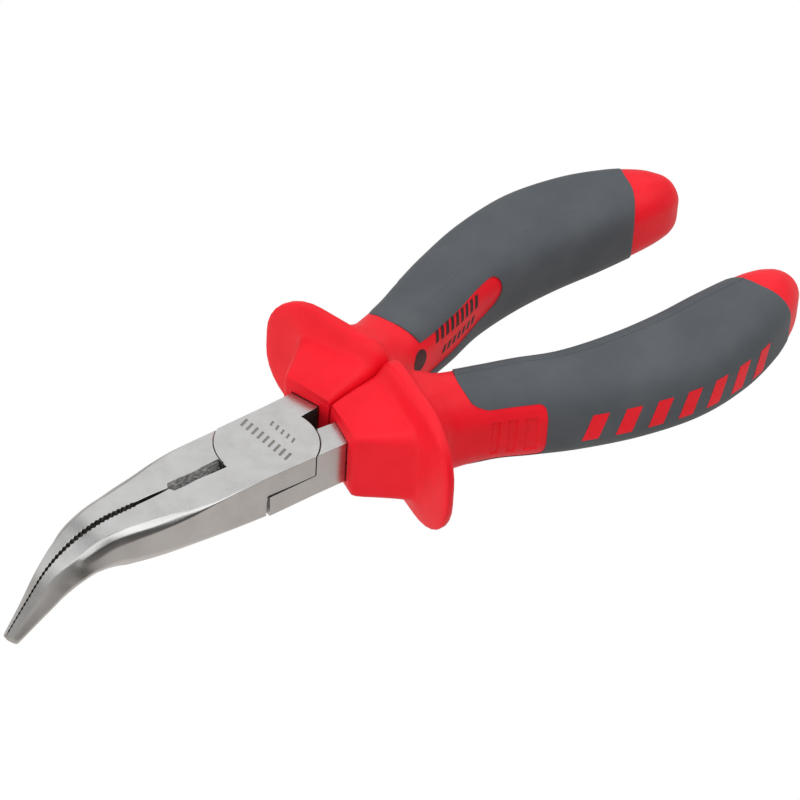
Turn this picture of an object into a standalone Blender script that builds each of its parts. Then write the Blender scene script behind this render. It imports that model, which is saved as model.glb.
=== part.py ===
"""Bent long-nose pliers with side cutters and two-colour guarded handles, nominal length 160 mm.

Frame: metres, +X from the pivot towards the handles, +Y across, +Z up along the pivot axis.
The origin is on the pivot axis, on the lower flat face of the joint. Lengths below are in
millimetres and turned into metres where a mesh is made. Heights are counted from the middle
plane of the joint, and an empty lifts the whole model by half the joint's thickness.

The two steel halves cross at the joint. The upper half has its lap on top, its jaw on the -Y
side and its handle on the +Y side; the lower half is the other way round. A flush rivet joins
them, and each handle is a hard sleeve with a guard, overmoulded with a soft grip.
"""
import math

import bmesh
import bpy
from mathutils import Vector

MM = 0.001

# Joint
JOINT_THICKNESS = 8.87
JOINT_HALF_WIDTH = 7.65
JOINT_FLARE = 0.025          # growth of the half width per millimetre towards the handles
LAP_RADIUS = 9.1
LAP_CLEARANCE = 0.3          # between the round lap and the hollow it turns in
LAP_GAP = 0.15               # each lap's face to the middle plane
RIVET_RADIUS = 3.2
RIVET_CLEARANCE = 0.3

LAP_SHOULDER = 4.9           # x where the side of the joint turns into the lap's arc
LAP_CORNER_GAP = 1.0         # degrees that the shoulder's corner stays clear of the arc

# Jaws: the seam between them, the bend and the cutter slot
SEAM_GAP = 0.15              # each jaw's face to the seam, which lies over the X axis
BEND_START = -32.0
BEND_RADIUS = 19.0
BEND_ANGLE = math.radians(54.0)
SLOT_FRONT = -20.2
SLOT_REAR = -9.2
SLOT_HALF_WIDTH = 1.15
CUTTER_LAND = 0.6            # half height of the land on the cutting edge
CUTTER_DEPTH = 6.0           # half height of the bevels' cutter
CUTTER_FLARE = 0.4           # how much the slot widens towards the faces

# Shanks and tangs
SHANK_INNER = 1.9            # the shank's inner face from the X axis
SHANK_STEP = 13.0            # where the shank steps off the round lap
SHANK_END = 22.0             # where the shank turns into the tang
SHANK_TAPER = (0.6, 1.9)     # how far its inner face has moved out at the step and the end
TANG_START = 14.5
TANG_HALF_HEIGHT = 3.2
TANG_INSET = 4.6             # from the handle's outline to the tang's side
TANG_END = 88.0

# Handles
SLEEVE_CLEARANCE = 0.3       # steel to sleeve, and sleeve to grip
SLEEVE_FRONT = 8.0           # where the sleeve's bore starts, in front of the sleeve itself
GRIP_THICKNESS = 1.7
GRIP_FRONT = 33.7
GRIP_REAR = 97.0
CORNER_POINTS = 6
HANDLE_STEPS = 3             # loft rings from one handle station to the next
SMALLEST_CORNER = 0.3

# Jaw sections: distance from the bend's start along the top line, half width of the flat top,
# then half width and depth at the upper side line and the lower side line, half width of the
# flat bottom, and thickness
JAW_STATIONS = [
    (-26.8, 7.4, 7.5, 0.1, 7.5, JOINT_THICKNESS - 0.1, 7.4, JOINT_THICKNESS),
    (-19.0, 7.2, 7.4, 0.2, 7.3, 8.0, 6.7, JOINT_THICKNESS),
    (-11.8, 6.3, 7.2, 0.9, 6.9, 7.3, 5.8, JOINT_THICKNESS),
    (-6.5, 5.0, 6.6, 1.4, 6.4, 6.9, 5.0, JOINT_THICKNESS),
    (-1.0, 4.1, 5.7, 1.8, 5.8, 6.3, 4.2, 8.5),
    (4.5, 3.6, 4.9, 2.1, 5.1, 5.4, 3.5, 7.6),
    (9.5, 3.3, 4.3, 1.8, 4.5, 4.4, 3.1, 6.3),
    (14.0, 3.0, 3.8, 1.1, 3.9, 3.2, 2.9, 4.9),
    (19.5, 2.3, 2.9, 0.9, 3.2, 2.4, 2.4, 3.6),
    (28.9, 1.1, 1.5, 0.7, 1.6, 1.6, 1.3, 2.3),
]

# Rings of the hard sleeve in front of the grip: inner and outer end of the ring in plan,
# half height, and the corner radii at the inner and the outer end
GUARD_RINGS = [
    ((13.2, 0.3), (12.0, 10.2), 7.4, 0.9, 2.8),
    ((15.2, 0.3), (13.8, 10.6), 8.3, 1.2, 3.2),
    ((19.2, 0.3), (17.4, 12.4), 9.9, 2.4, 4.2),
    ((22.8, 0.3), (18.8, 17.4), 11.4, 3.4, 6.5),
    ((24.2, 0.3), (18.8, 24.2), 12.4, 4.0, 10.0),
    ((25.0, 0.2), (19.1, 26.2), 12.9, 4.2, 11.4),
    ((26.4, 0.2), (20.4, 26.2), 12.9, 4.2, 11.4),
    ((27.2, 0.3), (21.3, 24.4), 12.1, 4.0, 10.6),
    ((28.4, 0.9), (24.4, 17.4), 10.2, 4.0, 7.0),
    ((30.2, 1.7), (26.8, 15.6), 9.5, 4.6, 6.4),
]

# The handle's outline in plan behind the guard: inner end, outer end, half height
HANDLE_STATIONS = [
    ((33.8, 2.9), (29.6, 15.6), 8.8),
    ((41.0, 5.1), (36.6, 17.8), 8.1),
    ((47.5, 7.1), (43.0, 20.8), 8.0),
    ((55.5, 9.9), (51.3, 24.5), 8.0),
    ((65.5, 11.5), (62.5, 28.1), 8.0),
    ((75.5, 11.9), (74.6, 30.0), 7.9),
    ((84.8, 11.7), (86.2, 28.9), 7.8),
    ((91.8, 12.0), (94.8, 26.2), 7.5),
    ((97.5, 12.7), (100.4, 23.6), 7.0),
]
END_RINGS = [
    ((101.5, 13.3), (102.8, 22.0), 6.2),
    ((104.4, 14.4), (104.6, 20.4), 4.8),
    ((106.2, 16.2), (105.8, 18.6), 2.2),
]
HANDLE_CORNER = 0.72         # corner radius over half height

# Windows in the grip that show the hard sleeve: x from, x to, z from, z to
WINDOW_REACH = 30.0          # how far a window's cutter runs out of the handle
TONGUE_WINDOW = (30.0, 44.8, -5.8, 5.8)
INNER_WINDOW = (37.5, 59.5, -2.4, 4.8)


def clear_scene():
    """Remove every object of the scene."""
    for thing in list(bpy.data.objects):
        bpy.data.objects.remove(thing, do_unlink=True)


def make_material(name, colour, roughness, metallic=0.0):
    """Return a Principled material."""
    material = bpy.data.materials.new(name)
    material.use_nodes = True
    shader = material.node_tree.nodes["Principled BSDF"]
    shader.inputs["Base Color"].default_value = (*colour, 1.0)
    shader.inputs["Roughness"].default_value = roughness
    shader.inputs["Metallic"].default_value = metallic
    return material


def mesh_object(name, bm, material=None, sharp_degrees=30.0):
    """Turn a bmesh in millimetres into an object in metres with outward faces."""
    bmesh.ops.recalc_face_normals(bm, faces=bm.faces)
    bmesh.ops.scale(bm, vec=Vector((MM, MM, MM)), verts=bm.verts)
    mesh = bpy.data.meshes.new(name)
    bm.to_mesh(mesh)
    bm.free()
    mesh.shade_smooth()
    mesh.set_sharp_from_angle(angle=math.radians(sharp_degrees))
    thing = bpy.data.objects.new(name, mesh)
    bpy.context.collection.objects.link(thing)
    if material:
        mesh.materials.append(material)
    return thing


def make_cutter(name, bm):
    """A helper solid that only Booleans use."""
    cutter = mesh_object(name, bm)
    cutter.hide_render = True
    cutter.display_type = "WIRE"
    return cutter


def add_boolean(thing, other, operation="DIFFERENCE"):
    """Cut, join or intersect one object with another."""
    modifier = thing.modifiers.new(other.name, "BOOLEAN")
    modifier.operation = operation
    modifier.solver = "EXACT"
    modifier.object = other


def prism(outline, low, high):
    """Extrude a closed plan outline [(x, y), ...] from one height to another."""
    bm = bmesh.new()
    face = bm.faces.new([bm.verts.new((x, y, low)) for x, y in outline])
    raised = bmesh.ops.extrude_face_region(bm, geom=[face])["geom"]
    corners = [item for item in raised if isinstance(item, bmesh.types.BMVert)]
    bmesh.ops.translate(bm, vec=(0.0, 0.0, high - low), verts=corners)
    return bm


def cylinder(radius, low, high, segments=64):
    """A disc about the pivot axis."""
    turns = [2.0 * math.pi * i / segments for i in range(segments)]
    return prism([(radius * math.cos(a), radius * math.sin(a)) for a in turns], low, high)


def box(x_range, y_range, z_range):
    """A box from three ranges."""
    (x0, x1), (y0, y1) = x_range, y_range
    return prism([(x0, y0), (x1, y0), (x1, y1), (x0, y1)], *z_range)


def loft(rings):
    """Skin a list of closed rings with the same number of points and cap both ends."""
    bm = bmesh.new()
    rows = [[bm.verts.new(point) for point in ring] for ring in rings]
    count = len(rows[0])
    for first, second in zip(rows, rows[1:]):
        for i in range(count):
            j = (i + 1) % count
            bm.faces.new((first[i], first[j], second[j], second[i]))
    bm.faces.new(rows[0])
    bm.faces.new(list(reversed(rows[-1])))
    return bm


def tube(outer_rings, inner_rings):
    """Skin an outer and an inner row of rings and join them with a flat ring at both ends."""
    bm = bmesh.new()
    outer = [[bm.verts.new(point) for point in ring] for ring in outer_rings]
    inner = [[bm.verts.new(point) for point in ring] for ring in inner_rings]
    loop = outer + inner[::-1] + outer[:1]
    count = len(outer[0])
    for first, second in zip(loop, loop[1:]):
        for i in range(count):
            j = (i + 1) % count
            bm.faces.new((first[i], first[j], second[j], second[i]))
    return bm


def arc_points(radius, start, end, count):
    """Points on a circle about the pivot axis, angles in degrees."""
    steps = [math.radians(start + (end - start) * i / (count - 1)) for i in range(count)]
    return [(radius * math.cos(a), radius * math.sin(a)) for a in steps]


def joint_half_width(x):
    """Half width of the joint at x."""
    return JOINT_HALF_WIDTH + JOINT_FLARE * x


# ---------------------------------------------------------------- steel halves

def bend_point(distance):
    """Point (x, z) and downward angle on the top line of the jaws, before and after the bend."""
    top = JOINT_THICKNESS / 2.0
    if distance <= 0.0:
        return BEND_START - distance, top, 0.0
    angle = min(distance / BEND_RADIUS, BEND_ANGLE)
    x = BEND_START - BEND_RADIUS * math.sin(angle)
    z = top - BEND_RADIUS * (1.0 - math.cos(angle))
    rest = max(0.0, distance - BEND_RADIUS * BEND_ANGLE)
    return x - rest * math.cos(angle), z - rest * math.sin(angle), angle


def jaw_ring(station, jaw_side):
    """Eight-sided section of one jaw, square to the top line."""
    distance, flat, upper, upper_depth, lower, lower_depth, bottom, thickness = station
    x, z, angle = bend_point(distance)
    profile = [
        (SEAM_GAP, 0.0), (flat, 0.0), (upper, upper_depth), (lower, lower_depth),
        (bottom, thickness), (SEAM_GAP, thickness),
    ]
    return [
        (x + depth * math.sin(angle), jaw_side * out, z - depth * math.cos(angle))
        for out, depth in profile
    ]


def handle_centre(stations, inset):
    """Inner and outer edges of a bar that runs inside the handle's outline."""
    inner, outer = [], []
    for (xi, yi), (xo, yo), _height in stations:
        across = Vector((xo - xi, yo - yi)).normalized()
        inner.append((xi + across.x * inset, yi + across.y * inset))
        outer.append((xo - across.x * inset, yo - across.y * inset))
    return inner, outer


def steel_outline(grow=0.0):
    """Plan of the shank and tang on the side of negative y. grow widens it for the bore."""
    bars = [s for s in HANDLE_STATIONS if s[0][0] < TANG_END]
    inner, outer = handle_centre(bars, TANG_INSET - grow)
    return (
        [(SHANK_END, -(SHANK_INNER + SHANK_TAPER[1] - grow))] + [(x, -y) for x, y in inner]
        + [(x, -y) for x, y in reversed(outer)]
        + [(SHANK_END, -(joint_half_width(SHANK_END) + grow))]
    )


def make_half(name, jaw_side, material):
    """One forged half. jaw_side is -1 for the upper half and +1 for the lower half."""
    top = JOINT_THICKNESS / 2.0
    shoulder = joint_half_width(LAP_SHOULDER)
    corner = math.degrees(math.acos(shoulder / LAP_RADIUS))
    jaw_root = bend_point(JAW_STATIONS[0][0])[0]
    shank_angle = math.degrees(math.asin(SHANK_INNER / LAP_RADIUS))
    outline = (
        [(-LAP_RADIUS, SEAM_GAP), (jaw_root, SEAM_GAP), (jaw_root, JAW_STATIONS[0][1])]
        + arc_points(LAP_RADIUS, 90.0 - corner, -shank_angle, 12)
        + [(SHANK_STEP, -(SHANK_INNER + SHANK_TAPER[0]))]
        + steel_outline()
        + [(LAP_SHOULDER, -shoulder)]
        + arc_points(LAP_RADIUS, -90.0 - corner - LAP_CORNER_GAP, -180.0, 10)
    )
    body = mesh_object(name, prism([(x, q * jaw_side) for x, q in outline], -top, top), material)
    jaw = make_cutter(name + ".jaw", loft([jaw_ring(s, jaw_side) for s in JAW_STATIONS]))
    add_boolean(body, jaw, "UNION")

    # The other half's lap turns in this hollow: below for the upper half, above for the lower
    far, near = 2.0 * top * jaw_side, -LAP_GAP * jaw_side
    hollow = cylinder(LAP_RADIUS + LAP_CLEARANCE, min(far, near), max(far, near))
    add_boolean(body, make_cutter(name + ".hollow", hollow))

    # Bevels that leave the cutting edge in the slot
    mouth = SLOT_HALF_WIDTH + CUTTER_FLARE
    wedge = [
        (-mouth, CUTTER_DEPTH), (mouth, CUTTER_DEPTH), (SEAM_GAP, CUTTER_LAND),
        (SEAM_GAP, -CUTTER_LAND), (mouth, -CUTTER_DEPTH), (-mouth, -CUTTER_DEPTH),
    ]
    rings = [[(x, q * jaw_side, z) for q, z in wedge] for x in (SLOT_FRONT, SLOT_REAR)]
    add_boolean(body, make_cutter(name + ".slot", loft(rings)))

    bore = cylinder(RIVET_RADIUS + RIVET_CLEARANCE, -2.0 * top, 2.0 * top, 32)
    add_boolean(body, make_cutter(name + ".bore", bore))
    for sign in (-1.0, 1.0):
        low, high = sorted((sign * TANG_HALF_HEIGHT, sign * 2.0 * top))
        relief = box((TANG_START, 2.0 * TANG_END), (-TANG_END, TANG_END), (low, high))
        side = "top" if sign > 0.0 else "bottom"
        add_boolean(body, make_cutter(name + ".relief_" + side, relief))
    return body


def make_rivet(material):
    """Flush rivet that fills the bore through both laps."""
    top = JOINT_THICKNESS / 2.0
    return mesh_object("pivot_rivet", cylinder(RIVET_RADIUS, -top, top, 32), material)


# ---------------------------------------------------------------- handles

def rounded_ring(inner, outer, half_height, inner_radius, outer_radius, side, shrink=0.0):
    """Upright rounded rectangle whose plan runs from inner to outer. side mirrors it in Y."""
    start, end = Vector(inner), Vector(outer)
    across = (end - start).normalized()
    length = (end - start).length - 2.0 * shrink
    start = start + across * shrink
    height = half_height - shrink
    points = []
    for centre_sign, radius, turn in (
        (1.0, outer_radius, 0.0), (-1.0, inner_radius, 90.0),
        (-1.0, inner_radius, 180.0), (1.0, outer_radius, 270.0),
    ):
        radius = max(SMALLEST_CORNER, min(radius - shrink, height * 0.98, length * 0.49))
        along = length - radius if centre_sign > 0.0 else radius
        up = (height - radius) * (1.0 if turn < 180.0 else -1.0)
        for i in range(CORNER_POINTS):
            angle = math.radians(turn + 90.0 * i / (CORNER_POINTS - 1))
            spot = start + across * (along + radius * math.cos(angle))
            points.append((spot.x, spot.y * side, up + radius * math.sin(angle)))
    return points


def blend(first, second, third, fourth, t):
    """Catmull-Rom value between the second and third of four values."""
    return 0.5 * (
        2.0 * second + (third - first) * t
        + (2.0 * first - 5.0 * second + 4.0 * third - fourth) * t * t
        + (3.0 * second - first - 3.0 * third + fourth) * t * t * t
    )


def smooth_stations(stations, steps):
    """Fill in stations on smooth curves through the given ones."""
    flat = [(*inner, *outer, height) for inner, outer, height in stations]
    padded = [flat[0]] + flat + [flat[-1]]
    filled = []
    for i in range(len(flat) - 1):
        for step in range(steps):
            t = step / steps
            filled.append([blend(*(padded[i + k][c] for k in range(4)), t) for c in range(5)])
    filled.append(list(flat[-1]))
    return [((v[0], v[1]), (v[2], v[3]), v[4]) for v in filled]


def handle_rings(side, shrink, stations):
    """Rings of the handle's outer skin, moved inwards by shrink."""
    return [
        rounded_ring(inner, outer, height, HANDLE_CORNER * height, HANDLE_CORNER * height,
                     side, shrink)
        for inner, outer, height in stations
    ]


def split_at(stations, front, rear):
    """Stations whose middle lies between two x values."""
    return [s for s in stations if front <= (s[0][0] + s[1][0]) / 2.0 <= rear]


def make_sleeve(name, side, material):
    """Hard sleeve: guard, core under the grip, raised tongue and window, and end."""
    whole = smooth_stations(HANDLE_STATIONS, HANDLE_STEPS)
    inset = GRIP_THICKNESS + SLEEVE_CLEARANCE
    front = split_at(whole, 0.0, GRIP_FRONT - 0.5)
    core = split_at(whole, GRIP_FRONT, GRIP_REAR - 0.2)
    tail = split_at(whole, GRIP_REAR, 200.0) + END_RINGS
    rings = [rounded_ring(*ring, side) for ring in GUARD_RINGS]
    rings += handle_rings(side, 0.0, front)
    rings += handle_rings(side, inset, core)
    rings += handle_rings(side, 0.0, tail)
    sleeve = mesh_object(name, loft(rings), material)
    for label, window in (("tongue", TONGUE_WINDOW), ("window", INNER_WINDOW)):
        skin = loft(handle_rings(side, 0.0, split_at(whole, 0.0, GRIP_REAR)))
        pad = make_cutter(name + "." + label, skin)
        frame = make_cutter(name + ".frame_" + label, window_box(window, side, label, 0.0))
        add_boolean(pad, frame, "INTERSECT")
        add_boolean(sleeve, pad, "UNION")
    add_boolean(sleeve, make_cutter(name + ".socket", tang_socket(side)))
    return sleeve


def middle_of_handle(x):
    """y of the handle's middle line at x."""
    spots = [((xi + xo) / 2.0, (yi + yo) / 2.0) for (xi, yi), (xo, yo), _height in HANDLE_STATIONS]
    for (x0, y0), (x1, y1) in zip(spots, spots[1:]):
        if x0 <= x <= x1:
            return y0 + (y1 - y0) * (x - x0) / (x1 - x0)
    return spots[0][1] if x < spots[0][0] else spots[-1][1]


def window_box(window, side, label, grow):
    """Prism round a window of the grip, from the handle's middle line out through one side:
    the outer side for the tongue, the inner side for the other window."""
    x0, x1, z0, z1 = window
    out = WINDOW_REACH if label == "tongue" else -WINDOW_REACH
    ends = (x0 - grow, x1 + grow)
    near = [(x, middle_of_handle(x)) for x in ends]
    far = [(x, y + out) for x, y in reversed(near)]
    return prism([(x, y * side) for x, y in near + far], z0 - grow, z1 + grow)


def tang_socket(side):
    """Bore of the sleeve: the shank's and tang's outline with clearance all round."""
    top = JOINT_THICKNESS / 2.0 + SLEEVE_CLEARANCE
    inner = SHANK_INNER - SLEEVE_CLEARANCE
    outline = [(SLEEVE_FRONT, -inner), (SHANK_STEP, -(inner + SHANK_TAPER[0]))]
    outline += steel_outline(SLEEVE_CLEARANCE)
    outline += [(SLEEVE_FRONT, -(joint_half_width(SLEEVE_FRONT) + SLEEVE_CLEARANCE))]
    return prism([(x, -q * side) for x, q in outline], -top, top)


def make_grip(name, side, material):
    """Soft grip: a tube over the core with the tongue and window cut out of it."""
    whole = smooth_stations(HANDLE_STATIONS, HANDLE_STEPS)
    skin = split_at(whole, GRIP_FRONT + 0.3, GRIP_REAR - 0.5)
    shell = tube(handle_rings(side, 0.0, skin), handle_rings(side, GRIP_THICKNESS, skin))
    grip = mesh_object(name, shell, material)
    for label, window in (("tongue", TONGUE_WINDOW), ("window", INNER_WINDOW)):
        opening = window_box(window, side, label, SLEEVE_CLEARANCE)
        add_boolean(grip, make_cutter(name + "." + label, opening))
    return grip


def main():
    """Build the pliers and lift them onto the joint's lower face."""
    clear_scene()
    steel = make_material("satin_steel", (0.52, 0.51, 0.50), 0.32, 1.0)
    red = make_material("red_plastic", (0.83, 0.03, 0.05), 0.45)
    grey = make_material("grey_grip", (0.10, 0.115, 0.13), 0.62)
    pieces = [
        make_half("upper_half", -1.0, steel),
        make_half("lower_half", 1.0, steel),
        make_rivet(steel),
    ]
    for label, side in (("left", 1.0), ("right", -1.0)):
        pieces.append(make_sleeve("guard_sleeve_" + label, side, red))
        pieces.append(make_grip("soft_grip_" + label, side, grey))
    pivot = bpy.data.objects.new("pivot_axis", None)
    pivot.location = (0.0, 0.0, JOINT_THICKNESS / 2.0 * MM)
    bpy.context.collection.objects.link(pivot)
    for thing in list(bpy.data.objects):
        if thing is not pivot:
            thing.parent = pivot


main()
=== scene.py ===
"""Looks of the bent long-nose pliers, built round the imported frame.

Frame: metres, +X from the pivot towards the handles, +Y across, +Z up along the pivot axis.
Shapes are worked out in millimetres with heights counted from the joint's middle plane, and
turned into the frame's metres when a mesh is made. side is +1 for the handle at +Y (the upper
half's) and -1 for the one at -Y; a half's jaw lies on the other side.
"""
import math

import bmesh
import bpy
from mathutils import Matrix, Vector
from mathutils.bvhtree import BVHTree


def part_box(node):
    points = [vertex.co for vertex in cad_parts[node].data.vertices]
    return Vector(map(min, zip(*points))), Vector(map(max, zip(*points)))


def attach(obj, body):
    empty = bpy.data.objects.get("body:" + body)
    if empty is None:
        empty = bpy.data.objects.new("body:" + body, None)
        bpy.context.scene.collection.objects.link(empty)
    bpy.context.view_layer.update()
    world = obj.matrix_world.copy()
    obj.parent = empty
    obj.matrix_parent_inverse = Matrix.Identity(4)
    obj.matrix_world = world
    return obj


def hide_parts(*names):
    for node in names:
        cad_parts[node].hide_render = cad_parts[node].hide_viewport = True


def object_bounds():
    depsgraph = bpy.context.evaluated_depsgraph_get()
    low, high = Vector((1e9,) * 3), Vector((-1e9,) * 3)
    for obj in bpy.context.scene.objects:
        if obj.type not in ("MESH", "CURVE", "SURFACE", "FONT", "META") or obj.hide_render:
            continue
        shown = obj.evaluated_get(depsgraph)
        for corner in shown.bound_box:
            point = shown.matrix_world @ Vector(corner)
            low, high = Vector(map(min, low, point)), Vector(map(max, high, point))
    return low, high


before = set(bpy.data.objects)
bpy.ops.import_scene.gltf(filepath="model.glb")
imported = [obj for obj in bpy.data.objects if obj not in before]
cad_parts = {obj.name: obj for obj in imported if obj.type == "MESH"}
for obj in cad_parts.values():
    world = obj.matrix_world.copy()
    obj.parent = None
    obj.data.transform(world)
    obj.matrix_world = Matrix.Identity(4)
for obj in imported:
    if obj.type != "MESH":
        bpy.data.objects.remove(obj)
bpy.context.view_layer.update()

MM = 0.001
RIVET_LOW, RIVET_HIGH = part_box("pivot_rivet")
MIDDLE = (RIVET_LOW.z + RIVET_HIGH.z) / 2.0      # height of the joint's middle plane
TOP = (RIVET_HIGH.z - RIVET_LOW.z) / 2.0 / MM    # half the joint's thickness
RIVET_RADIUS = (RIVET_HIGH.x - RIVET_LOW.x) / 2.0 / MM
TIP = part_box("upper_half")[0].x / MM
PAST = 1.0                   # how far a cutter stands out past the faces that it cuts
WELD = 1e-7                  # points closer than this, in metres, become one
STEEL_CREASE, RIVET_CREASE, SKIN_CREASE = 24.0, 30.0, 38.0    # edges over this angle stay hard

# Joint
HALF_WIDTH = 7.65            # at the pivot
FLARE = 0.025                # growth of the half width per millimetre towards the handles
EDGE_CHAMFER = 0.1           # ground edges of the steel
LAP_RADIUS = 9.1
LAP_CLEARANCE = 0.12         # round the lap, in the other half's hollow
LAP_CHAMFER = 0.12           # round the hollow's rim
LAP_GAP = 0.09               # from the joint's middle plane to either lap
LAP_OFFSET = 0.04            # the hollow stands this far towards the handles
RIVET_CLEARANCE = 0.012
LAP_STEPS, RIVET_STEPS = 160, 128
SHANK_ARC_STEPS, LAP_ARC_STEPS = 40, 30
SHOULDER = 4.9               # where the joint's side turns into the lap's arc
ARC_START = 0.6              # degrees from the shoulder to the arc's first point
ARC_END = -179.9             # the arc stops just short of the X axis
SHANK_INNER = 2.05           # inner face of the shanks, from the X axis
SHANK_STEP = 12.6            # where that face has moved outwards by SHANK_STEP_OUT
SHANK_STEP_OUT = 0.35
SHANK_END = 22.0             # where it has moved by SHANK_END_OUT, and the tang begins
SHANK_END_OUT = 1.75
# Small gap in the near side below the lap, seen from the side (x and height), and its depth
WEDGE = [(-5.15, -0.1), (-5.55, -TOP - 0.5), (-4.70, -TOP - 0.5), (-4.80, -0.1)]
WEDGE_DEPTH = 0.8
# Rows of strokes on the joint: first and last middle, count, stroke length and width
STROKES = [((-0.2, 6.3), (0.8, -5.0), 9, 1.9, 0.55), ((3.6, 3.4), (4.0, -2.2), 5, 1.1, 0.50)]
ENGRAVED_DEPTH = 0.09

# Jaws
BEND_START = -32.0
BEND_RADIUS = 19.0
BEND_ANGLE = math.radians(54.0)
JAW_ROOT = -27.0             # distance along the jaw's top line, from the start of the bend
PLAIN_STEP = 0.8             # from section to section behind the teeth
TOOTH_START = -4.6
TOOTH_PITCH = 0.90
TOOTHLESS_TIP = 0.5
TIP_SHRINK = 0.86            # size of the rounded tip's last section
JAW_OVERLAP = 0.8            # how far the lap's plate runs past the seam's face into its jaw
ROOT_OVERLAP = 0.4           # how far the plate runs forwards into the jaw's root
ROOT_INSET = 0.02            # how far it stays inside the jaw's flank there
SEAM_INSET = 0.05            # how far its first point stands inside the lap's radius

# Sections of a jaw, square to its top line. Distance along the top line, then half width and
# depth at the end of the top face, on the flute, at the flute's lower edge and at the lower
# side line, then half width of the bottom face and the thickness.
JAW_SECTIONS = [
    (-27.0, 7.47, 0.00, 7.49, 0.03, 7.50, 0.06, 7.50, 8.70, 7.35, 8.87),
    (-21.0, 7.40, 0.00, 7.44, 0.03, 7.50, 0.08, 7.42, 8.20, 6.95, 8.87),
    (-17.3, 6.95, 0.00, 7.35, 0.08, 7.55, 0.20, 7.25, 7.85, 6.60, 8.87),
    (-13.0, 6.35, 0.00, 6.95, 0.18, 7.40, 0.60, 7.05, 7.45, 6.10, 8.87),
    (-8.9, 5.55, 0.00, 6.35, 0.40, 7.00, 1.10, 6.80, 7.00, 5.60, 8.87),
    (-4.7, 4.76, 0.00, 5.95, 0.65, 6.45, 1.50, 6.20, 6.70, 5.00, 8.75),
    (-0.5, 4.20, 0.00, 5.30, 0.80, 5.65, 1.90, 5.70, 6.25, 4.30, 8.45),
    (3.8, 3.65, 0.06, 4.72, 0.85, 5.02, 2.15, 5.15, 5.60, 3.80, 7.75),
    (7.2, 3.30, 0.30, 4.28, 0.92, 4.65, 2.20, 4.95, 5.00, 3.55, 6.95),
    (9.4, 3.08, 0.50, 3.85, 1.02, 4.30, 2.15, 4.80, 4.45, 3.35, 6.50),
    (11.0, 2.90, 0.52, 3.45, 1.22, 4.00, 2.10, 4.75, 4.05, 3.35, 6.15),
    (15.0, 2.15, 0.45, 2.70, 1.10, 3.20, 1.90, 4.05, 3.70, 3.25, 5.10),
    (19.4, 1.75, 0.50, 2.15, 1.00, 2.55, 1.65, 3.35, 3.20, 2.75, 4.05),
    (22.9, 1.30, 0.45, 1.70, 0.90, 2.05, 1.50, 2.65, 2.65, 2.25, 3.40),
    (28.9, 0.82, 0.30, 1.10, 0.72, 1.38, 1.20, 1.55, 1.80, 1.33, 2.30),
]

# Size and number of points of the rounding at each corner, from the seam round to the seam
JAW_ROUNDING = (0.06, 0.16, 0.30, 0.35, 0.5, 0.35, 0.06)
JAW_ROUNDING_POINTS = (2, 3, 4, 4, 4, 4, 2)

# Along the jaws' top line: half of the gap between the seam's faces, and the teeth's depth
SEAM = [
    (-27.0, 0.12, 0.0), (-12.0, 0.16, 0.0), (-9.5, 0.28, 0.0), (-7.0, 0.38, 0.0), (-5.0, 0.38, 0.20),
    (3.0, 0.38, 0.27), (6.0, 0.34, 0.28), (9.0, 0.26, 0.26), (14.0, 0.15, 0.20), (20.0, 0.08, 0.15),
    (28.9, 0.05, 0.10),
]

# Slot with the cutters: x and half width at the faces, and the half height of the cutters' land
SLOT_MOUTH = [(-20.5, 0.35), (-20.0, 1.10), (-17.5, 1.12), (-15.6, 0.98), (-14.2, 1.02),
              (-12.5, 1.15), (-9.3, 1.25)]
CUTTER_LAND = 0.5

# Where finishes and painted shade change: ends and reach of the slot, start and reach of the shanks'
# inner faces
SLOT_ZONE = (-20.7, -9.1, 1.55)
SHANK_ZONE = (7.0, 2.55)
# PAINTED_SHADE marks the faces that get painted shade, a near-black that stands in for deep shadow
MILLED, PAINTED_SHADE, ETCHED = 1, 2, 3      # places in a half's list of finishes, after the bare steel

# Rings of the hard sleeve's guard: inner and outer end in plan, half height at each end, the
# corner radii at each end, and the height of the ring's middle over the joint's middle plane
GUARD_RINGS = [
    ((13.4, 0.30), (11.0, 9.0), 5.0, 5.0, 0.6, 0.9, 0.15),
    ((13.6, 0.25), (11.1, 9.9), 5.9, 6.1, 0.8, 1.1, 0.15),
    ((13.9, 0.25), (11.8, 10.7), 6.9, 7.0, 1.0, 1.3, 0.15),
    ((18.2, 0.25), (15.6, 13.8), 8.4, 7.5, 1.9, 1.9, 0.28),
    ((22.0, 0.25), (18.9, 16.6), 9.5, 8.0, 2.6, 2.5, 0.30),
    ((22.9, 0.25), (19.4, 18.2), 10.3, 8.9, 3.2, 3.6, 0.33),
    ((23.4, 0.25), (19.3, 21.0), 11.2, 10.5, 3.8, 6.4, 0.38),
    ((23.9, 0.25), (19.0, 24.2), 11.9, 11.8, 4.2, 9.2, 0.45),
    ((24.4, 0.25), (19.0, 25.7), 12.3, 12.3, 4.2, 10.3, 0.45),
    ((24.9, 0.25), (19.3, 26.2), 12.4, 12.4, 4.2, 10.7, 0.45),
    ((25.8, 0.25), (20.1, 26.2), 12.4, 12.4, 4.2, 10.7, 0.45),
    ((26.3, 0.25), (20.7, 25.8), 12.3, 12.3, 4.2, 10.4, 0.45),
    ((26.7, 0.30), (21.2, 24.6), 11.9, 11.9, 4.2, 9.6, 0.40),
    ((27.1, 0.50), (21.9, 22.0), 11.2, 11.2, 4.2, 8.4, 0.35),
    ((27.7, 0.80), (23.1, 18.5), 10.4, 10.4, 4.2, 7.0, 0.25),
    ((28.7, 1.20), (24.8, 16.6), 9.9, 9.9, 4.4, 6.6, 0.15),
    ((30.6, 1.90), (27.1, 15.8), 9.5, 9.5, 5.0, 6.4, 0.05),
]

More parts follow.
